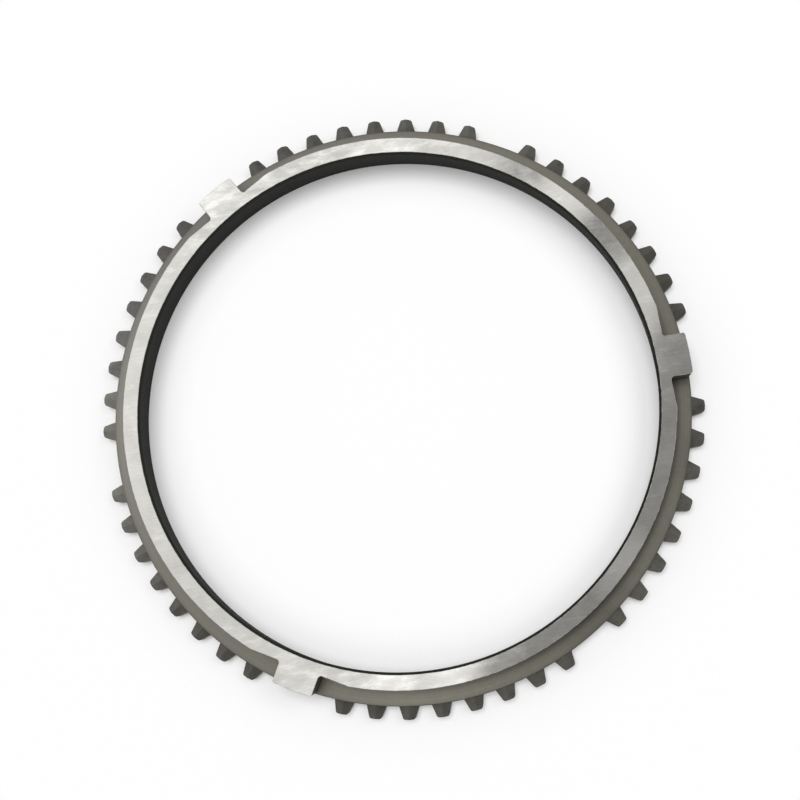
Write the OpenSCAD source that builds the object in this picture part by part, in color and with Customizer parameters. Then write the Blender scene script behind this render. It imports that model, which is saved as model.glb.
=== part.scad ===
// Synchronizer ring of a truck gearbox: a steel blocker ring with pointed blocking teeth and three
// index lugs, and a black friction lining bonded into its conical bore.
// Sizes are in millimetres and angles in degrees. The axis is Z. The gear side lies on Z = 0, the hub
// side with the lugs faces up, and one lug points along +X.

/* [Friction cone] */
// Diameter of the friction surface at its wide end, on the plane of the gear side
cone_mouth_d = 137.2; // [110:0.1:180]
// Angle between the cone and the axis
cone_angle = 6; // [4:0.25:9]
// Thickness of the lining, square to the cone
lining_t = 0.65; // [0.3:0.05:1.5]
// Distance from each end of the ring to the lining
lining_inset = 0.4; // [0.2:0.05:1]

/* [Sleeve] */
// Height of the ring, from the gear side to the ground face
ring_h = 13.4; // [10:0.1:20]
// Width of the ground face, from the bore to the outer wall
face_w = 3.9; // [2.8:0.05:6]
// Chamfer on the outer edge of the ground face
face_chamfer = 0.2; // [0.1:0.05:0.6]

/* [Rim] */
// Height of the rim that carries the teeth
rim_h = 5; // [3.2:0.1:6]
// Width of the flat land, from the sleeve to the roots of the teeth
land_w = 4.65; // [3:0.05:8]
// Fillet where the sleeve rises from the land
land_fillet = 0.5; // [0.3:0.1:1.5]

/* [Lugs] */
// Number of index lugs, evenly spaced
lug_count = 3; // [3:1:4]
// Width of a lug between its parallel sides
lug_w = 10.7; // [7:0.1:14]
// Distance of a lug's rounded end from the root circle of the teeth
lug_setback = 0.05; // [0.05:0.05:1]
// Chamfer on the two outer corners of a lug
lug_chamfer = 0.4; // [0.2:0.1:1]
// Fillet between a lug's sides and the flats beside it
lug_fillet = 0.9; // [0.3:0.1:1.5]
// Depth of the flat that is milled into the sleeve beside a lug
flat_depth = 1.25; // [0.5:0.05:1.6]

/* [Teeth] */
// Tooth places from lug to lug; the two beside the lugs and the middle one stay empty
tooth_places = 19; // [15:2:23]
// Height of a tooth above the root circle
tooth_h = 3.4; // [2:0.1:6]
// Thickness of a tooth at the root circle
tooth_root_w = 5.2; // [4.5:0.1:6]
// Thickness of a tooth at its tip
tooth_tip_w = 3; // [2:0.1:4]
// Fillet at the foot of a tooth
tooth_fillet = 0.5; // [0.2:0.1:0.8]
// Rounding of the two corners of a tooth's tip
tip_round = 0.7; // [0.2:0.1:0.9]
// Angle between the two faces of a tooth's pointed top
roof_angle = 120; // [105:1:150]
// Depth of the ridge of that top below the land
ridge_drop = 0.2; // [0:0.05:0.6]

/* [Hidden] */
$fn = 180;

// Overlap that fuses the lugs and the teeth with the ring
sink = 0.6;
// Depth to which the fillets at a tooth's foot run below the root circle
foot_dip = 0.03;
// Straight steps in a small fillet or rounding
arc_steps = 3;

cone_slope = tan(cone_angle);
lining_radial_t = lining_t / cos(cone_angle);
function lining_r(z) = cone_mouth_d / 2 - z * cone_slope;
function bore_r(z) = lining_r(z) + lining_radial_t;

sleeve_r = bore_r(ring_h) + face_w;
root_r = sleeve_r + land_w;
tip_r = root_r + tooth_h;
flat_x = sleeve_r - flat_depth;
lug_r = root_r - lug_setback;

tooth_pitch = 360 / (lug_count * tooth_places);
middle_place = (tooth_places - 1) / 2;
flank_angle = atan((tooth_root_w - tooth_tip_w) / 2 / tooth_h);
ridge_z = rim_h - ridge_drop;

// Points on an arc round c, from angle a to angle b
function arc(c, r, a, b, steps) = [
    for (i = [0:steps]) c + r * [cos(a + (b - a) * i / steps), sin(a + (b - a) * i / steps)]
];

// Points mirrored in the X axis, in reverse, to close an outline
function mirrored(points) = [for (i = [len(points) - 1:-1:0]) [points[i].x, -points[i].y]];

// Section of the rim, as radius and height, with a lead-in chamfer below the lining
module rim_section() {
    polygon([
        [bore_r(lining_inset) + lining_inset, 0],
        [root_r, 0],
        [root_r, rim_h],
        [bore_r(rim_h), rim_h],
        [bore_r(lining_inset), lining_inset]
    ]);
}

// Section of the sleeve that stands on the rim, as radius and height
module sleeve_section() {
    foot_r = sleeve_r + land_fillet;
    foot_z = rim_h - sink;
    polygon(concat(
        [[bore_r(foot_z), foot_z], [foot_r, foot_z]],
        arc([foot_r, rim_h + land_fillet], land_fillet, 270, 180, 2 * arc_steps),
        [
            [sleeve_r, ring_h - face_chamfer],
            [sleeve_r - face_chamfer, ring_h],
            [bore_r(ring_h), ring_h]
        ]
    ));
}

// Block that cuts the flat on both sides of a lug
module flat_cut() {
    cut_w = 2 * sqrt(pow(root_r, 2) - pow(flat_x, 2));
    translate([flat_x, -cut_w / 2, 0]) cube([root_r - flat_x, cut_w, 2 * ring_h]);
}

// Lug along +X, with its foot filleted into the flat and its end turned round the axis
module lug() {
    half_w = lug_w / 2;
    foot_c = [flat_x + lug_fillet, half_w + lug_fillet];
    end_angle = asin((half_w - lug_chamfer) / lug_r);
    end_facets = 2 * arc_steps + 1;
    half_outline = concat(
        [[flat_x - sink, half_w + lug_fillet]],
        arc(foot_c, lug_fillet, 180, 270, 2 * arc_steps),
        [[lug_r * cos(end_angle) - lug_chamfer, half_w]],
        arc([0, 0], lug_r, end_angle, end_angle / end_facets, arc_steps)
    );
    translate([0, 0, rim_h - sink])
        linear_extrude(ring_h - rim_h + sink)
            polygon(concat(half_outline, mirrored(half_outline)));
}

// Outline of a tooth along +X, seen along the axis
module tooth_outline() {
    foot_circle_r = root_r - foot_dip + tooth_fillet;
    flank_offset = root_r * sin(flank_angle) + tooth_root_w / 2 * cos(flank_angle);
    foot_angle = asin((tooth_fillet + flank_offset) / foot_circle_r) - flank_angle;
    foot_c = foot_circle_r * [cos(foot_angle), sin(foot_angle)];
    tip_c = [
        tip_r - tip_round,
        (flank_offset - tip_round - (tip_r - tip_round) * sin(flank_angle)) / cos(flank_angle)
    ];
    half_outline = concat(
        [(root_r - sink) * [cos(foot_angle), sin(foot_angle)]],
        arc(foot_c, tooth_fillet, 180 + foot_angle, 270 - flank_angle, arc_steps),
        arc(tip_c, tip_round, 90 - flank_angle, 0, arc_steps)
    );
    polygon(concat(half_outline, mirrored(half_outline)));
}

// Tooth along +X: its outline raised to the height of the ridge and cut to a pointed top
module tooth() {
    roof_w = tooth_root_w + 4 * tooth_fillet;
    eave_z = ridge_z - roof_w / 2 / tan(roof_angle / 2);
    intersection() {
        linear_extrude(rim_h) tooth_outline();
        translate([root_r - 2 * sink, 0, 0])
            rotate([90, 0, 90])
                linear_extrude(tooth_h + 3 * sink)
                    polygon([
                        [-roof_w / 2, 0],
                        [roof_w / 2, 0],
                        [roof_w / 2, eave_z],
                        [0, ridge_z],
                        [-roof_w / 2, eave_z]
                    ]);
    }
}

module blocker_ring() {
    color("#a3a199") {
        rotate_extrude() rim_section();
        difference() {
            rotate_extrude() sleeve_section();
            for (i = [0:lug_count - 1])
                rotate(i * 360 / lug_count) flat_cut();
        }
        for (i = [0:lug_count - 1])
            rotate(i * 360 / lug_count) {
                lug();
                for (place = [1:tooth_places - 2])
                    if (place != middle_place)
                        rotate((place + 0.5) * tooth_pitch) tooth();
            }
    }
}

module friction_lining() {
    color("#2b2c29")
        rotate_extrude()
            polygon([
                [lining_r(lining_inset), lining_inset],
                [bore_r(lining_inset), lining_inset],
                [bore_r(ring_h - lining_inset), ring_h - lining_inset],
                [lining_r(ring_h - lining_inset), ring_h - lining_inset]
            ]);
}

blocker_ring();
friction_lining();
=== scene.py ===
import math

import bmesh
import bpy
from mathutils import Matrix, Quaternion, Vector


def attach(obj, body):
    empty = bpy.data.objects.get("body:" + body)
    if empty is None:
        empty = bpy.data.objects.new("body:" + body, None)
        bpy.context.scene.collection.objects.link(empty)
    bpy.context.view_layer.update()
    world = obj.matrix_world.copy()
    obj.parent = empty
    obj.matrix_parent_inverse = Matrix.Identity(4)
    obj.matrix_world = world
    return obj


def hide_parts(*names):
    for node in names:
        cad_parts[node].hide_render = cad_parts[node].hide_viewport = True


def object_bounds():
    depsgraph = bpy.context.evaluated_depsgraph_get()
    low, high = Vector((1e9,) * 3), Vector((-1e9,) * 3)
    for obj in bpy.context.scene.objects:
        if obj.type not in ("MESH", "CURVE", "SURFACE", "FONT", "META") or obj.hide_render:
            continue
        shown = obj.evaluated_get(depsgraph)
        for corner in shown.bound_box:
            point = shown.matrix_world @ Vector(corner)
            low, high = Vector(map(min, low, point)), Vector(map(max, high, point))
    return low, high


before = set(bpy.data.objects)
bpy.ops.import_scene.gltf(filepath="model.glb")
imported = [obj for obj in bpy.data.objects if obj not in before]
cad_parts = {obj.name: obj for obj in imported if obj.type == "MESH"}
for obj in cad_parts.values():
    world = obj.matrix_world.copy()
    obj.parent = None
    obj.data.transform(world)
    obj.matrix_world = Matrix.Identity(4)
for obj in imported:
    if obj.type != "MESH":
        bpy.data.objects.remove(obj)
cadLow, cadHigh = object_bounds()
print("frame loaded:", ", ".join(sorted(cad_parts)))

mm = 0.001  # the frame is in metres, the sizes below are in millimetres
weld = 0.001  # points closer than this are merged
slack = 0.01  # how far off a height a point may be and still count as on it
lugCount = 3

# the ring's section, from the friction cone outwards
ringSizes = {
    "height": cadHigh.z / mm,
    "coneMouth": 137.2,  # friction surface at its wide end, across
    "coneAngle": 6,
    "liningThick": 0.65,  # square to the cone
    "liningInset": 0.4,  # bare steel above and below the lining
    "faceWidth": 3.9,
    "rimHeight": 5.0,
    "landWidth": 4.65,
    "landFillet": 0.5,
    "filletSteps": 6,
    "landEdge": 0.15,  # broken edge between the land and the roots
    "landEdgeSteps": 2,
    "topEdge": 0.1,  # rounding of the ground face's outline
    "topEdgeSteps": 3,
    "topEdgeAngle": 45,  # least angle of an edge that is rounded
    "stock": 0.5,  # left on both ends until the lugs and teeth are on
}

coneSlope = math.tan(math.radians(ringSizes["coneAngle"]))
liningAcross = ringSizes["liningThick"] / math.cos(math.radians(ringSizes["coneAngle"]))


def liningRadius(z):
    return ringSizes["coneMouth"] / 2 - z * coneSlope


def boreRadius(z):
    return liningRadius(z) + liningAcross


topZ = ringSizes["height"]
landZ = ringSizes["rimHeight"]
sleeveRadius = boreRadius(topZ) + ringSizes["faceWidth"]
rootRadius = sleeveRadius + ringSizes["landWidth"]


def addNode(tree, kind, inputs=None, **options):
    # options are the node's own settings, inputs are fixed values or sockets to link
    node = tree.nodes.new(kind)
    for name, value in options.items():
        setattr(node, name, value)
    for name, value in (inputs or {}).items():
        if isinstance(value, bpy.types.NodeSocket):
            tree.links.new(value, node.inputs[name])
        else:
            node.inputs[name].default_value = value
    return node


def newFinish(name):
    finish = bpy.data.materials.new(name)
    finish.use_nodes = True
    tree = finish.node_tree
    shader = tree.nodes["Principled BSDF"]
    place = addNode(tree, "ShaderNodeTexCoord").outputs["Object"]
    return finish, tree, shader, place


def noiseAt(tree, place, size, detail=3.0, rough=0.55):
    # cloudy noise with features of a size in millimetres
    return addNode(tree, "ShaderNodeTexNoise", {
        "Vector": place, "Scale": 1 / (size * mm), "Detail": detail, "Roughness": rough,
    }).outputs["Fac"]


def radiusAt(tree, place):
    flat = addNode(tree, "ShaderNodeVectorMath", {0: place, 1: (1, 1, 0)}, operation="MULTIPLY")
    return addNode(tree, "ShaderNodeVectorMath", {0: flat.outputs["Vector"]},
                   operation="LENGTH").outputs["Value"]


def bandsAt(tree, distance, width):
    # uneven bands along a distance, of a width in millimetres
    return addNode(tree, "ShaderNodeTexNoise", {
        "W": distance, "Scale": 1 / (width * mm), "Detail": 4.0,
    }, noise_dimensions="1D").outputs["Fac"]


def ringsAt(tree, place, width):
    # lathe rings round the axis
    return bandsAt(tree, radiusAt(tree, place), width)


def streaksAt(tree, place, turn, length, width):
    # straight grinding streaks, in millimetres, turned round the axis
    turned = addNode(tree, "ShaderNodeMapping", {
        "Vector": place,
        "Rotation": (0, 0, math.radians(turn)),
        "Scale": (1 / (length * mm), 1 / (width * mm), 1 / (length * mm)),
    })
    return addNode(tree, "ShaderNodeTexNoise", {
        "Vector": turned.outputs["Vector"], "Scale": 1.0, "Detail": 4.0, "Roughness": 0.6,
    }).outputs["Fac"]


def spread(tree, value, low, high, fromLow=0.3, fromHigh=0.7):
    return addNode(tree, "ShaderNodeMapRange", {
        "Value": value, "From Min": fromLow, "From Max": fromHigh, "To Min": low, "To Max": high,
    }).outputs["Result"]


def tint(tree, value, dark, pale, low=0.3, high=0.7):
    ramp = addNode(tree, "ShaderNodeValToRGB", {"Fac": value})
    ends = ramp.color_ramp.elements
    ends[0].position, ends[0].color = low, (*dark, 1)
    ends[1].position, ends[1].color = high, (*pale, 1)
    return ramp.outputs["Color"]


def average(tree, first, second, share):
    return addNode(tree, "ShaderNodeMix", {
        "Factor": share, "A": first, "B": second,
    }, data_type="FLOAT").outputs["Result"]


def relief(tree, shader, height, depth, strength):
    # depth in millimetres
    bump = addNode(tree, "ShaderNodeBump", {
        "Height": height, "Distance": depth * mm, "Strength": strength,
    })
    tree.links.new(bump.outputs["Normal"], shader.inputs["Normal"])


def product(tree, first, second):
    return addNode(tree, "ShaderNodeMath", {0: first, 1: second}, operation="MULTIPLY").outputs["Value"]


def shaded(tree, colour, gain):
    return addNode(tree, "ShaderNodeVectorMath", {0: colour, "Scale": gain},
                   operation="SCALE").outputs["Vector"]


def awayFrom(tree, place, way):
    # distance from a spot on the rim, given by its way round the axis in degrees
    a = math.radians(way)
    spot = Vector((rootRadius * math.cos(a), rootRadius * math.sin(a), landZ)) * mm
    return addNode(tree, "ShaderNodeVectorMath", {0: place, 1: spot},
                   operation="DISTANCE").outputs["Value"]


patchCore = 1 / 6  # share of a patch's reach over which it is full


def paintLightPatches(tree, place, colour, paintedLight):
    # painted light and shade on the steel in spots: way, reach in millimetres, gain
    for way, reach, gain in paintedLight:
        away = awayFrom(tree, place, way)
        change = spread(tree, away, 1.0, gain, reach * mm, patchCore * reach * mm)
        colour = shaded(tree, colour, change)
    return colour


# painted cool light: the dull steel and the land are a little bluer on the side the window lights
coolLightSide = {
    "way": 145,
    "reach": 115,  # mm
    "gain": (1.0, 1.0, 1.11),
}


def paintCoolLight(tree, place, colour):
    # painted cool light, strongest at one spot on the rim and fading out over its reach
    away = awayFrom(tree, place, coolLightSide["way"])
    gain = addNode(tree, "ShaderNodeMix", {
        "Factor": spread(tree, away, 0.0, 1.0, coolLightSide["reach"] * mm, 0.0),
        "A": (1, 1, 1, 1), "B": (*coolLightSide["gain"], 1),
    }, data_type="RGBA").outputs["Result"]
    return addNode(tree, "ShaderNodeVectorMath", {0: colour, 1: gain},
                   operation="MULTIPLY").outputs["Vector"]


def workedSteel(tree, place, f):
    # mottled steel with lathe rings and fine grain
    mottle = noiseAt(tree, place, f["mottle"], detail=5.0)
    rings = ringsAt(tree, place, f["ringWidth"])
    grain = noiseAt(tree, place, f["grain"], rough=0.65)
    turned = average(tree, mottle, rings, f["ringShare"])
    return mottle, rings, grain, average(tree, turned, grain, f["grainShare"])


faceFinish = {
    "dark": (0.61, 0.605, 0.575),
    "pale": (0.80, 0.79, 0.765),
    "bright": (0.93, 0.92, 0.90),
    "cloud": 7.0,  # broad patches left by the grinding, mm
    "streakTurn": 38,
    "streakLength": 9.0,
    "streakWidth": 0.28,
    "streakShare": 0.3,  # the rest is cloud
    "markLength": 6.0,  # bright strokes
    "markWidth": 2.2,
    "markFrom": (0.56, 0.76),  # noise levels where a stroke begins and is full
    "markShare": 0.7,  # of the bright colour in a full stroke
    "uneven": [(100, 64, 0.14), (257, 50, 0.09)],  # stronger strokes: way, reach in mm, contrast
    "unevenCore": 1 / 3,  # share of that reach over which they are full
    "unevenFrom": (0.4, 0.6),
    "rough": (0.05, 0.10),
    "relief": (0.004, 0.25),  # depth in mm, strength
}


def groundFace():
    f = faceFinish
    finish, tree, shader, place = newFinish("groundFace")
    cloud = noiseAt(tree, place, f["cloud"], detail=5.0, rough=0.6)
    streaks = streaksAt(tree, place, f["streakTurn"], f["streakLength"], f["streakWidth"])
    marks = streaksAt(tree, place, f["streakTurn"], f["markLength"], f["markWidth"])
    both = average(tree, cloud, streaks, f["streakShare"])
    colour = addNode(tree, "ShaderNodeMix", {
        "Factor": spread(tree, marks, 0.0, f["markShare"], *f["markFrom"]),
        "A": tint(tree, both, f["dark"], f["pale"]), "B": (*f["bright"], 1),
    }, data_type="RGBA").outputs["Result"]
    for way, reach, contrast in f["uneven"]:
        away = awayFrom(tree, place, way)
        near = spread(tree, away, 0.0, 1.0, reach * mm, f["unevenCore"] * reach * mm)
        stroke = spread(tree, marks, 1 - contrast, 1 + contrast, *f["unevenFrom"])
        colour = shaded(tree, colour, average(tree, 1.0, stroke, near))
    tree.links.new(colour, shader.inputs["Base Color"])
    tree.links.new(spread(tree, both, *f["rough"]), shader.inputs["Roughness"])
    relief(tree, shader, average(tree, streaks, marks, 0.5), *f["relief"])
    shader.inputs["Metallic"].default_value = 1.0
    return finish


bodyFinish = {
    "dark": (0.087, 0.085, 0.071),
    "pale": (0.187, 0.182, 0.157),
    "contrast": (0.35, 0.65),  # noise levels of the dark and the pale colour
    "mottle": 4.0,
    "grain": 0.35,
    "grainShare": 0.4,
    "ringWidth": 0.5,
    "ringShare": 0.2,
    "ringRelief": 0.3,  # share of the rings in the relief, the rest is grain
    "rough": (0.45, 0.60),
    "relief": (0.015, 0.5),
    "metal": 0.7,  # the rest is a dull skin
    # painted light and shade in spots: way, reach in mm, gain
    "paintedLight": [(171, 58, 2.0), (66, 24, 1.25), (322, 34, 1.22), (14, 26, 0.84), (246, 40, 0.84)],
}


def dullSteel():
    f = bodyFinish
    finish, tree, shader, place = newFinish("dullSteel")
    mottle, rings, grain, worked = workedSteel(tree, place, f)
    colour = tint(tree, worked, f["dark"], f["pale"], *f["contrast"])
    # painted light and shade in spots
    colour = paintLightPatches(tree, place, colour, f["paintedLight"])
    # painted cool light on one side
    tree.links.new(paintCoolLight(tree, place, colour), shader.inputs["Base Color"])
    tree.links.new(spread(tree, mottle, *f["rough"]), shader.inputs["Roughness"])
    relief(tree, shader, average(tree, grain, rings, f["ringRelief"]), *f["relief"])
    shader.inputs["Metallic"].default_value = f["metal"]
    return finish


landFinish = {
    "dark": (0.217, 0.209, 0.173),
    "pale": (0.334, 0.320, 0.274),
    "mottle": 5.0,
    "grain": 0.4,
    "grainShare": 0.25,
    "ringWidth": 0.45,
    "ringShare": 0.25,
    "ringRelief": 0.6,
    "rough": (0.34, 0.50),
    "relief": (0.01, 0.4),
    "metal": 0.85,
    # painted light and shade in spots: way, reach in mm, gain
    "paintedLight": [(168, 48, 1.25), (264, 34, 1.25), (304, 16, 0.8), (340, 10, 0.88)],
    "foot": (0.45, 2.2),  # painted shadow of the sleeve at its foot, from and to this far out, mm
    "footShade": 0.52,
    "footWay": 325,  # the side where the painted shadow lies
    "footReach": (110, 30),  # mm from there, where it begins and is full
    "rim": (0.9, 0.0),  # darker towards the roots, mm
    "rimShade": 0.7,
}


def turnedLand():
    f = landFinish
    finish, tree, shader, place = newFinish("turnedLand")
    mottle, rings, grain, worked = workedSteel(tree, place, f)
    colour = tint(tree, worked, f["dark"], f["pale"])
    radius = radiusAt(tree, place)
    # painted shadow of the sleeve on the land at its foot, strongest on one side
    foot = spread(tree, radius, f["footShade"], 1.0, *[(sleeveRadius + d) * mm for d in f["foot"]])
    side = spread(tree, awayFrom(tree, place, f["footWay"]), 0.0, 1.0, *[d * mm for d in f["footReach"]])
    colour = shaded(tree, colour, average(tree, 1.0, foot, side))
    rim = spread(tree, radius, 1.0, f["rimShade"], *[(rootRadius - d) * mm for d in f["rim"]])
    # darker towards the roots, then painted light and shade in spots
    colour = paintLightPatches(tree, place, shaded(tree, colour, rim), f["paintedLight"])
    # painted cool light on one side
    tree.links.new(paintCoolLight(tree, place, colour), shader.inputs["Base Color"])
    tree.links.new(spread(tree, mottle, *f["rough"]), shader.inputs["Roughness"])
    relief(tree, shader, average(tree, grain, rings, f["ringRelief"]), *f["relief"])
    shader.inputs["Metallic"].default_value = f["metal"]
    return finish


# painted shade: near-black steel for the lugs' sides, the sleeve's foot and the teeth's broken edges,
# which lie in shade
paintedShadeFinish = {
    "dark": (0.028, 0.026, 0.020),
    "pale": (0.060, 0.056, 0.044),
    "contrast": (0.35, 0.65),
    "mottle": 3.0,
    "grain": 0.3,
    "grainShare": 0.4,
    "rough": (0.5, 0.7),
    "relief": (0.015, 0.5),
    "metal": 0.4,
}


def paintedShadeSteel():
    f = paintedShadeFinish
    finish, tree, shader, place = newFinish("paintedShadeSteel")
    mottle = noiseAt(tree, place, f["mottle"], detail=5.0)
    grain = noiseAt(tree, place, f["grain"], rough=0.65)
    both = average(tree, mottle, grain, f["grainShare"])
    colour = tint(tree, both, f["dark"], f["pale"], *f["contrast"])
    tree.links.new(colour, shader.inputs["Base Color"])
    tree.links.new(spread(tree, mottle, *f["rough"]), shader.inputs["Roughness"])
    relief(tree, shader, grain, *f["relief"])
    shader.inputs["Metallic"].default_value = f["metal"]
    return finish


edgeFinish = {
    "dark": (0.24, 0.235, 0.21),
    "pale": (0.72, 0.71, 0.68),
    "contrast": (0.40, 0.62),
    "patch": 1.6,
    "rough": (0.5, 0.30),  # smoother where it is pale
    "relief": (0.02, 0.4),
    "metal": 0.8,
}


def wornEdge():
    f = edgeFinish
    finish, tree, shader, place = newFinish("wornEdge")
    patch = noiseAt(tree, place, f["patch"], detail=4.0, rough=0.65)
    colour = tint(tree, patch, f["dark"], f["pale"], *f["contrast"])
    tree.links.new(colour, shader.inputs["Base Color"])
    tree.links.new(spread(tree, patch, *f["rough"]), shader.inputs["Roughness"])
    relief(tree, shader, patch, *f["relief"])
    shader.inputs["Metallic"].default_value = f["metal"]
    return finish


liningFinish = {
    "dark": (0.013, 0.0145, 0.0115),
    "pale": (0.026, 0.028, 0.023),
    "grain": 0.22,
    "bandHeight": 0.7,
    "bandShare": 0.5,  # the rest is grain
    "rough": (0.72, 0.9),
    "relief": (0.03, 0.5),
    "shine": 0.1,
}


def liningBlack():
    f = liningFinish
    finish, tree, shader, place = newFinish("liningBlack")
    grain = noiseAt(tree, place, f["grain"], rough=0.6)
    height = addNode(tree, "ShaderNodeSeparateXYZ", {"Vector": place}).outputs["Z"]
    bands = bandsAt(tree, height, f["bandHeight"])
    both = average(tree, grain, bands, f["bandShare"])
    tree.links.new(tint(tree, both, f["dark"], f["pale"]), shader.inputs["Base Color"])
    tree.links.new(spread(tree, grain, *f["rough"]), shader.inputs["Roughness"])
    relief(tree, shader, both, *f["relief"])
    shader.inputs["Specular IOR Level"].default_value = f["shine"]
    return finish


steelFinishes = [dullSteel(), groundFace(), wornEdge(), turnedLand(), paintedShadeSteel()]
faceSlot, edgeSlot, landSlot, paintedShadeSlot = range(1, len(steelFinishes))  # the rest is dull steel
print("finishes made:", len(steelFinishes) + 1)


def arcPoints(centre, radius, start, end, steps):
    # points on an arc in a plane, angles in degrees
    angles = [math.radians(start + (end - start) * i / steps) for i in range(steps + 1)]
    return [(centre[0] + radius * math.cos(a), centre[1] + radius * math.sin(a)) for a in angles]


def mirrored(points):
    return [(x, -y) for x, y in reversed(points)]


def drawOutline(name, points):
    # a single vertex extruded from corner to corner, then filled; stays in edit mode
    bpy.ops.object.select_all(action="DESELECT")
    bpy.ops.mesh.primitive_plane_add(size=1, location=(0, 0, 0))
    piece = bpy.context.object
    piece.name = name
    bpy.ops.object.mode_set(mode="EDIT")
    bpy.ops.mesh.select_mode(type="VERT")
    bpy.ops.mesh.merge(type="CENTER")
    bpy.ops.transform.translate(value=points[0])
    for here, there in zip(points, points[1:]):
        step = Vector(there) - Vector(here)
        bpy.ops.mesh.extrude_vertices_move(TRANSFORM_OT_translate={"value": step})
    bpy.ops.mesh.select_all(action="SELECT")
    bpy.ops.mesh.edge_face_add()
    return piece


def spinSection(name, section):
    # a section of radius and height points turned once round the axis
    piece = drawOutline(name, [(r, 0, z) for r, z in section])
    bpy.ops.mesh.delete(type="ONLY_FACE")
    bpy.ops.mesh.select_all(action="SELECT")
    bpy.ops.mesh.spin(steps=columns, angle=math.radians(360), center=(0, 0, 0), axis=(0, 0, 1))
    bpy.ops.mesh.select_all(action="SELECT")
    bpy.ops.mesh.remove_doubles(threshold=weld)
    bpy.ops.mesh.normals_make_consistent(inside=False)
    bpy.ops.object.mode_set(mode="OBJECT")
    return piece


def raiseOutline(name, outline, low, high):
    # a plan outline at one height, extruded to another
    piece = drawOutline(name, [(x, y, low) for x, y in outline])
    bpy.ops.mesh.extrude_region_move(TRANSFORM_OT_translate={"value": (0, 0, high - low)})
    bpy.ops.mesh.select_all(action="SELECT")
    bpy.ops.mesh.normals_make_consistent(inside=False)
    return piece


def selectEdges(piece, wanted):
    # in edit mode, selects the edges that the test accepts
    bpy.ops.mesh.select_mode(type="EDGE")
    bpy.ops.mesh.select_all(action="DESELECT")
    mesh = bmesh.from_edit_mesh(piece.data)
    for edge in mesh.edges:
        edge.select_set(wanted(edge))
    mesh.select_flush_mode()
    bmesh.update_edit_mesh(piece.data)


def isSharp(edge, least):
    # least angle between its two faces, in degrees
    return len(edge.link_faces) == 2 and edge.calc_face_angle(0) > math.radians(least)


def copyRound(piece, angles):
    # copies of a piece at angles round the axis, joined into one
    copies = []
    for angle in angles:
        bpy.ops.object.select_all(action="DESELECT")
        piece.select_set(True)
        bpy.context.view_layer.objects.active = piece
        bpy.ops.object.duplicate()
        copy = bpy.context.object
        copy.rotation_euler.z = math.radians(angle)
        bpy.ops.object.transform_apply(rotation=True)
        copies.append(copy)
    bpy.data.objects.remove(piece)
    bpy.ops.object.select_all(action="DESELECT")
    for copy in copies:
        copy.select_set(True)
    bpy.context.view_layer.objects.active = copies[0]
    bpy.ops.object.join()
    return copies[0]


def combine(piece, other, operation):
    bpy.ops.object.select_all(action="DESELECT")
    piece.select_set(True)
    bpy.context.view_layer.objects.active = piece
    joiner = piece.modifiers.new(operation.lower(), "BOOLEAN")
    joiner.operation = operation
    joiner.object = other
    joiner.solver = "EXACT"
    bpy.ops.object.modifier_apply(modifier=joiner.name)
    bpy.data.objects.remove(other)


def giveFinishes(piece, finishes):
    for finish in finishes:
        piece.data.materials.append(finish)


lugSizes = {
    "width": 10.7,
    "setback": 0.05,  # from the root circle to the lug's rounded end
    "endSteps": 5,  # facets of that end, to each side of its middle one
    "corner": 0.4,
    "fillet": 0.9,
    "filletSteps": 8,
    "flatDepth": 1.25,
    "flatStep": 0.02,  # the flat's cutter just marks the land
    "footDip": 0.03,  # how far the fillets run into the flat
    "sink": 0.6,  # how far the lug runs into the ring
}
flatX = sleeveRadius - lugSizes["flatDepth"]
lugRadius = rootRadius - lugSizes["setback"]
lugAngles = [i * 360 / lugCount for i in range(lugCount)]

toothSizes = {
    "places": 19,  # from lug to lug; the end ones and the middle one stay empty
    "height": 3.4,
    "rootWidth": 5.2,
    "tipWidth": 3.0,
    "footFillet": 0.5,
    "footSteps": 4,
    "footDip": 0.03,  # how far the fillets run into the rim
    "tipRound": 0.7,
    "tipSteps": 5,
    "roofAngle": 120,
    "ridgeDrop": 0.2,  # from the land to the ridge
    "edge": 0.2,  # broken edges
    "edgeSteps": 2,
    "edgeAngle": 30,  # least angle of an edge that is broken
    "sink": 0.6,  # how far the tooth runs into the rim
}
columns = 8 * lugCount * toothSizes["places"]  # eight to a tooth pitch


def sleeveAndRim():
    s = ringSizes
    inset = s["liningInset"]
    low, high = -s["stock"], topZ + s["stock"]
    fillet = s["landFillet"]
    filletCentre = (sleeveRadius + fillet, landZ + fillet)
    edge = s["landEdge"]
    section = [
        (boreRadius(inset) + inset - low, low),
        (boreRadius(inset), inset),
        (boreRadius(high), high),
        (sleeveRadius, high),
        *arcPoints(filletCentre, fillet, 180, 270, s["filletSteps"]),
        *arcPoints((rootRadius - edge, landZ - edge), edge, 90, 0, s["landEdgeSteps"]),
        (rootRadius, low),
    ]
    piece = spinSection("steelRing", section)
    giveFinishes(piece, steelFinishes)
    return piece


def addBlock(name, low, high):
    # a block between two corners
    low, high = Vector(low), Vector(high)
    bpy.ops.object.select_all(action="DESELECT")
    bpy.ops.mesh.primitive_cube_add(size=1, location=(low + high) / 2)
    block = bpy.context.object
    block.name = name
    bpy.ops.object.mode_set(mode="EDIT")
    bpy.ops.transform.resize(value=high - low)
    bpy.ops.object.mode_set(mode="OBJECT")
    bpy.ops.object.transform_apply(location=True)
    return block


def flatCutters():
    # blocks beyond the flats, as long as the chord they cut
    halfChord = math.sqrt(rootRadius ** 2 - flatX ** 2)
    cutter = addBlock("flatCutter", (flatX, -halfChord, landZ - lugSizes["flatStep"]),
                      (rootRadius, halfChord, 2 * topZ))
    return copyRound(cutter, lugAngles)


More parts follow.
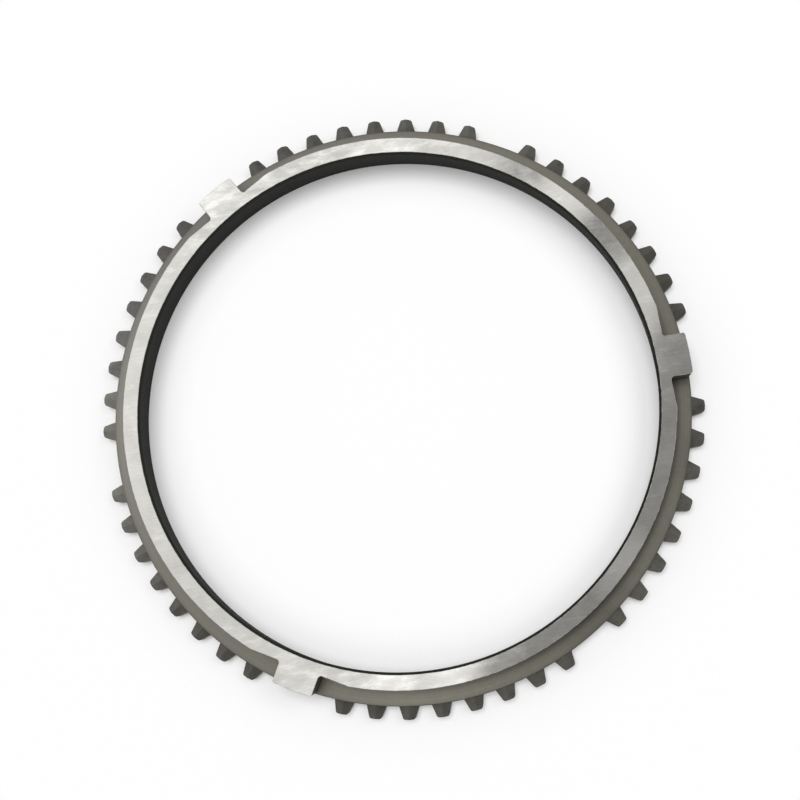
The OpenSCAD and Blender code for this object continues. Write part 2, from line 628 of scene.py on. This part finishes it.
def endCutters():
    # two plates that take the stock off both ends
    reach, thick = 2 * rootRadius, topZ
    plates = [
        addBlock("topPlate", (-reach, -reach, topZ), (reach, reach, topZ + thick)),
        addBlock("bottomPlate", (-reach, -reach, -thick), (reach, reach, 0)),
    ]
    for plate in plates:
        plate.select_set(True)
    bpy.ops.object.join()
    return bpy.context.object


def lugs():
    s = lugSizes
    half = s["width"] / 2
    foot = (flatX - s["footDip"] + s["fillet"], half + s["fillet"])
    endTurn = math.degrees(math.asin((half - s["corner"]) / lugRadius))
    middleTurn = endTurn / (2 * s["endSteps"] + 1)  # half the middle facet
    side = [
        (flatX - s["sink"], half + s["fillet"]),
        *arcPoints(foot, s["fillet"], 180, 270, s["filletSteps"]),
        (lugRadius * math.cos(math.radians(endTurn)) - s["corner"], half),
        *arcPoints((0, 0), lugRadius, endTurn, middleTurn, s["endSteps"]),
    ]
    high = topZ + 2 * ringSizes["stock"]
    lug = raiseOutline("lug", side + mirrored(side), landZ - s["sink"], high)
    bpy.ops.object.mode_set(mode="OBJECT")
    giveFinishes(lug, steelFinishes)
    return copyRound(lug, lugAngles)


def toothOutline():
    s = toothSizes
    tipRadius = rootRadius + s["height"]
    flank = math.atan((s["rootWidth"] - s["tipWidth"]) / 2 / s["height"])
    flankOffset = rootRadius * math.sin(flank) + s["rootWidth"] / 2 * math.cos(flank)
    footRadius = rootRadius - s["footDip"] + s["footFillet"]
    footTurn = math.asin((s["footFillet"] + flankOffset) / footRadius) - flank
    footCentre = (footRadius * math.cos(footTurn), footRadius * math.sin(footTurn))
    tipX = tipRadius - s["tipRound"]
    tipCentre = (tipX, (flankOffset - s["tipRound"] - tipX * math.sin(flank)) / math.cos(flank))
    inside = rootRadius - s["sink"]
    flankTurn, turn = math.degrees(flank), math.degrees(footTurn)
    side = [
        (inside * math.cos(footTurn), inside * math.sin(footTurn)),
        *arcPoints(footCentre, s["footFillet"], 180 + turn, 270 - flankTurn, s["footSteps"]),
        *arcPoints(tipCentre, s["tipRound"], 90 - flankTurn, 0, s["tipSteps"]),
    ]
    return side + mirrored(side)


def teeth():
    s = toothSizes
    ridgeZ = landZ - s["ridgeDrop"]
    tooth = raiseOutline("tooth", toothOutline(), -2 * ringSizes["stock"], landZ)
    # two cuts leave the pointed top
    lean = math.radians(90 - s["roofAngle"] / 2)
    for side in (1, -1):
        bpy.ops.mesh.select_all(action="SELECT")
        bpy.ops.mesh.bisect(
            plane_co=(0, 0, ridgeZ), plane_no=(0, side * math.sin(lean), math.cos(lean)),
            use_fill=True, clear_outer=True,
        )
    bpy.ops.mesh.select_all(action="SELECT")
    bpy.ops.mesh.remove_doubles(threshold=weld)
    bpy.ops.mesh.normals_make_consistent(inside=False)

    def worn(edge):
        outside = max(v.co.xy.length for v in edge.verts) > rootRadius
        above = max(v.co.z for v in edge.verts) > slack
        return outside and above and isSharp(edge, s["edgeAngle"])

    selectEdges(tooth, worn)
    bpy.ops.mesh.bevel(offset=s["edge"], segments=s["edgeSteps"], affect="EDGES", clamp_overlap=True)
    bpy.ops.object.mode_set(mode="OBJECT")
    giveFinishes(tooth, steelFinishes)
    pitch = 360 / lugCount / s["places"]
    middle = (s["places"] - 1) / 2
    angles = [
        start + (place + 0.5) * pitch
        for start in lugAngles
        for place in range(1, s["places"] - 1)
        if place != middle
    ]
    print("teeth:", len(angles))
    return copyRound(tooth, angles)


# which faces get which finish, by the upward or outward share of their normals
faceLimits = {
    "level": 0.99,  # more upward than this is the ground face or the land
    "landSlack": 0.05,  # the flats' cutter leaves the land in two heights, mm
    "boreMargin": 0.5,  # mm past the bore's wide end
    "wall": 0.2,  # less upward than this is a wall
    "lugSide": 0.5,  # a wall that is less outward than this is a lug's side
    "fillet": 0.97,  # less upward than this is the fillet at the sleeve's foot
    "brokenEdge": 0.8,  # less upward than this is a tooth's broken edge
}


def inPaintedShade(face):
    # faces that get the painted shade: the lugs' sides, the fillet at the sleeve's foot and the teeth's
    # broken edges
    limits = faceLimits
    radius = face.center.xy.length
    upward = abs(face.normal.z)
    if radius < boreRadius(0) + limits["boreMargin"]:
        return False
    if upward < limits["wall"]:
        outward = abs(face.normal.xy.dot(face.center.xy)) / radius
        return radius < lugRadius and outward < limits["lugSide"]
    atSleeve = radius < sleeveRadius + ringSizes["landFillet"]
    return upward < limits["fillet" if atSleeve else "brokenEdge"]


def roundTopEdges(piece):
    # the outline of the ground face, lugs and bore included
    s = ringSizes

    def onTop(edge):
        return min(v.co.z for v in edge.verts) > topZ - slack and isSharp(edge, s["topEdgeAngle"])

    bpy.ops.object.mode_set(mode="EDIT")
    bpy.ops.mesh.select_all(action="SELECT")
    bpy.ops.mesh.remove_doubles(threshold=2 * weld)
    selectEdges(piece, onTop)
    bpy.ops.mesh.bevel(offset=s["topEdge"], segments=s["topEdgeSteps"], affect="EDGES",
                       clamp_overlap=False, material=edgeSlot)
    bpy.ops.object.mode_set(mode="OBJECT")


def finishFaces(piece):
    for face in piece.data.polygons:
        level = face.normal.z > faceLimits["level"]
        if level and face.center.z > topZ - slack:
            face.material_index = faceSlot
        elif level and abs(face.center.z - landZ) < faceLimits["landSlack"]:
            face.material_index = landSlot
        # the painted shade goes on faces that lie in shade
        elif face.material_index != edgeSlot and inPaintedShade(face):
            face.material_index = paintedShadeSlot


smoothAngle = 32  # shading is smooth over edges flatter than this


def settle(piece):
    # smooth over the round stretches, then from millimetres to metres
    bpy.ops.object.select_all(action="DESELECT")
    piece.select_set(True)
    bpy.context.view_layer.objects.active = piece
    bpy.ops.object.shade_smooth_by_angle(angle=math.radians(smoothAngle))
    weights = piece.modifiers.new("faceNormals", "WEIGHTED_NORMAL")
    weights.keep_sharp = True
    bpy.ops.object.modifier_apply(modifier=weights.name)
    piece.scale = (mm, mm, mm)
    bpy.ops.object.transform_apply(scale=True)


steelRing = sleeveAndRim()
combine(steelRing, flatCutters(), "DIFFERENCE")
combine(steelRing, lugs(), "UNION")
combine(steelRing, teeth(), "UNION")
combine(steelRing, endCutters(), "DIFFERENCE")
roundTopEdges(steelRing)
finishFaces(steelRing)
settle(steelRing)
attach(steelRing, "root")
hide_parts("blocker_ring")
print("steel ring:", len(steelRing.data.polygons), "faces")


liningSizes = {
    "lip": 0.12,  # broken corner at the lining's two inner edges
}


def frictionLining():
    inset, lip = ringSizes["liningInset"], liningSizes["lip"]
    low, high = inset, topZ - inset
    section = [
        (boreRadius(low), low),
        (liningRadius(low) + lip, low),
        (liningRadius(low + lip), low + lip),
        (liningRadius(high - lip), high - lip),
        (liningRadius(high) + lip, high),
        (boreRadius(high), high),
    ]
    piece = spinSection("frictionLining", section)
    giveFinishes(piece, [liningBlack()])
    return piece


lining = frictionLining()
settle(lining)
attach(lining, "root")
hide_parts("friction_lining")
print("lining:", len(lining.data.polygons), "faces")


cameraView = {
    "place": (27.25, -47.81, 352.42),  # mm
    "aim": (9.00, 5.46, 0.0),
    "roll": -29.15,
    "lens": 59.96,
    "sensor": 36,
    "clip": (0.01, 50),  # metres
    "shift": (-0.0379, -0.0168),  # the picture is cropped off its middle
}


def photoCamera():
    data = bpy.data.cameras.new("camera")
    data.lens = cameraView["lens"]
    data.sensor_width = cameraView["sensor"]
    data.shift_x, data.shift_y = cameraView["shift"]
    data.clip_start, data.clip_end = cameraView["clip"]
    camera = bpy.data.objects.new("camera", data)
    bpy.context.scene.collection.objects.link(camera)
    place, aim = Vector(cameraView["place"]), Vector(cameraView["aim"])
    roll = Quaternion((0, 0, 1), math.radians(cameraView["roll"]))
    camera.location = place * mm
    camera.rotation_mode = "QUATERNION"
    camera.rotation_quaternion = (aim - place).to_track_quat("-Z", "Y") @ roll
    bpy.context.scene.camera = camera


floorLook = {
    "size": 6.0,  # metres
    "colour": (0.93, 0.93, 0.935),
    "rough": 0.9,
    "white": (0.2, 0.85),  # share of plain white where it is seen, in the ring's shadow and past it
    "inside": (64.5, 56.5),  # where the shadow clears inside and outside the ring, mm from the axis
    "outside": (82, 94),
    "clearing": (300, 900),  # where it goes all white, mm from the axis
}


def larger(tree, first, second):
    return addNode(tree, "ShaderNodeMath", {0: first, 1: second}, operation="MAXIMUM").outputs["Value"]


def seenRays(tree):
    # 1 for what is seen, straight or mirrored, and 0 for what only lights other things
    rays = addNode(tree, "ShaderNodeLightPath").outputs
    mirrors = larger(tree, rays["Is Glossy Ray"], rays["Is Transmission Ray"])
    return larger(tree, rays["Is Camera Ray"], mirrors)


def paleFloor():
    bpy.ops.object.select_all(action="DESELECT")
    bpy.ops.mesh.primitive_plane_add(size=floorLook["size"], location=(0, 0, 0))
    floor = bpy.context.object
    floor.name = "floor"
    finish, tree, shader, place = newFinish("floorCard")
    shader.inputs["Base Color"].default_value = (*floorLook["colour"], 1)
    shader.inputs["Roughness"].default_value = floorLook["rough"]
    shader.inputs["Specular IOR Level"].default_value = 0.0
    white = addNode(tree, "ShaderNodeEmission", {"Strength": 1.0}).outputs["Emission"]
    radius = radiusAt(tree, place)
    shadow, past = floorLook["white"]
    share = spread(tree, radius, shadow, 1.0, *[r * mm for r in floorLook["clearing"]])
    for side in ("inside", "outside"):
        clear = spread(tree, radius, shadow, past, *[r * mm for r in floorLook[side]])
        share = larger(tree, share, clear)
    card = addNode(tree, "ShaderNodeMixShader", {
        0: product(tree, seenRays(tree), share), 1: shader.outputs["BSDF"], 2: white,
    }).outputs["Shader"]
    tree.links.new(card, tree.nodes["Material Output"].inputs["Surface"])
    floor.data.materials.append(finish)


# the room as the ring sees it: directions in degrees round the axis, and above the floor
roomLight = {
    "walls": 0.30,
    "window": 0.64,
    "windowWay": 165,
    "windowLift": 35,
    "windowReach": (60, 15),  # degrees off its middle where it begins and is full
    "ceiling": 0.98,
    "ceilingReach": (36, 22),  # degrees off the vertical
    "shade": 0.31,  # the unlit part of the ceiling
    "shadeWay": -37.5,
    "shadeEdge": (-0.57, 0.43),  # degrees past the vertical
    "horizon": 1.0,
    "horizonReach": (24, 10),  # degrees above the floor
    "colour": (1.0, 0.995, 0.98),
    "glow": 0.8,  # share of it that lights rough surfaces; the lamps do the rest
}

# fittings overhead that the ground face mirrors: way, degrees off the vertical, reach, gain
overhead = [
    (67.6, 14.6, 1.7, -0.75),
    (81.3, 17.05, 1.15, -0.66),
    (84.8, 17.55, 1.5, -0.13),
    (58.0, 12.6, 2.2, -0.20),
    (98.8, 19.2, 1.4, 0.36),
    (-152.4, 7.55, 1.0, 0.46),
    (-138.2, 5.5, 1.1, 0.46),
    (119.8, 21.1, 1.7, 0.2),
    (-1.8, 3.85, 1.5, 0.6),
    (191.3, 10.6, 1.4, 0.12),
    (177, 12.6, 7.0, -0.13),
]
fittingCore = 0.5  # share of a fitting's reach over which it is full


def wayTo(way, lift):
    # unit vector from a direction round the axis and a lift above the floor, in degrees
    a, e = math.radians(way), math.radians(lift)
    return Vector((math.cos(a) * math.cos(e), math.sin(a) * math.cos(e), math.sin(e)))


def softRoom():
    s = roomLight
    world = bpy.data.worlds.new("softRoom")
    world.use_nodes = True
    bpy.context.scene.world = world
    tree = world.node_tree
    look = addNode(tree, "ShaderNodeTexCoord").outputs["Generated"]

    def offAxis(direction):
        # how far a look is from a direction, as the chord between them
        return addNode(tree, "ShaderNodeVectorMath", {0: look, 1: direction},
                       operation="DISTANCE").outputs["Value"]

    def chord(degrees):
        return 2 * math.sin(math.radians(degrees) / 2)

    def step(value, start, end, low, high):
        return addNode(tree, "ShaderNodeMapRange", {
            "Value": value, "From Min": start, "From Max": end, "To Min": low, "To Max": high,
        }, interpolation_type="SMOOTHSTEP").outputs["Result"]

    window = offAxis(wayTo(s["windowWay"], s["windowLift"]))
    level = step(window, *map(chord, s["windowReach"]), s["walls"], s["window"])

    across = addNode(tree, "ShaderNodeVectorMath", {0: look, 1: wayTo(s["shadeWay"], 0)},
                     operation="DOT_PRODUCT").outputs["Value"]
    edge = [math.sin(math.radians(d)) for d in s["shadeEdge"]]
    ceiling = step(across, *edge, s["ceiling"], s["shade"])
    for way, off, reach, gain in overhead:
        spot = offAxis(wayTo(way, 90 - off))
        here = step(spot, chord(reach), fittingCore * chord(reach), 1.0, 1.0 + gain)
        ceiling = product(tree, ceiling, here)
    above = step(offAxis((0, 0, 1)), *map(chord, s["ceilingReach"]), 0.0, 1.0)
    level = average(tree, level, ceiling, above)

    up = addNode(tree, "ShaderNodeSeparateXYZ", {"Vector": look}).outputs["Z"]
    far = step(up, *[math.sin(math.radians(d)) for d in s["horizonReach"]], 0.0, 1.0)
    level = average(tree, level, s["horizon"], far)
    # seen and mirrored in full
    level = product(tree, level, step(seenRays(tree), 0.0, 1.0, s["glow"], 1.0))
    tree.links.new(level, tree.nodes["Background"].inputs["Strength"])
    tree.nodes["Background"].inputs["Color"].default_value = (*s["colour"], 1)


# soft lamps, not mirrored: way round the axis and lift in degrees, size and distance in metres
lamps = {
    "main": {"way": 112, "lift": 82, "distance": 2.4, "size": 1.12, "power": 31.0},
    "fill": {"way": 15, "lift": 60, "distance": 2.4, "size": 1.4, "power": 11.4},
}


def softLamp(name, look):
    data = bpy.data.lights.new(name, "AREA")
    data.shape = "DISK"
    data.size = look["size"]
    data.energy = look["power"]
    lamp = bpy.data.objects.new(name, data)
    bpy.context.scene.collection.objects.link(lamp)
    lamp.location = look["distance"] * wayTo(look["way"], look["lift"])
    lamp.rotation_mode = "QUATERNION"
    lamp.rotation_quaternion = (-lamp.location).to_track_quat("-Z", "Y")
    lamp.visible_glossy = False


photoCamera()
paleFloor()
softRoom()
for name, look in lamps.items():
    softLamp(name + "Lamp", look)
bpy.context.scene.view_settings.view_transform = "Standard"
print("camera, floor and light set")
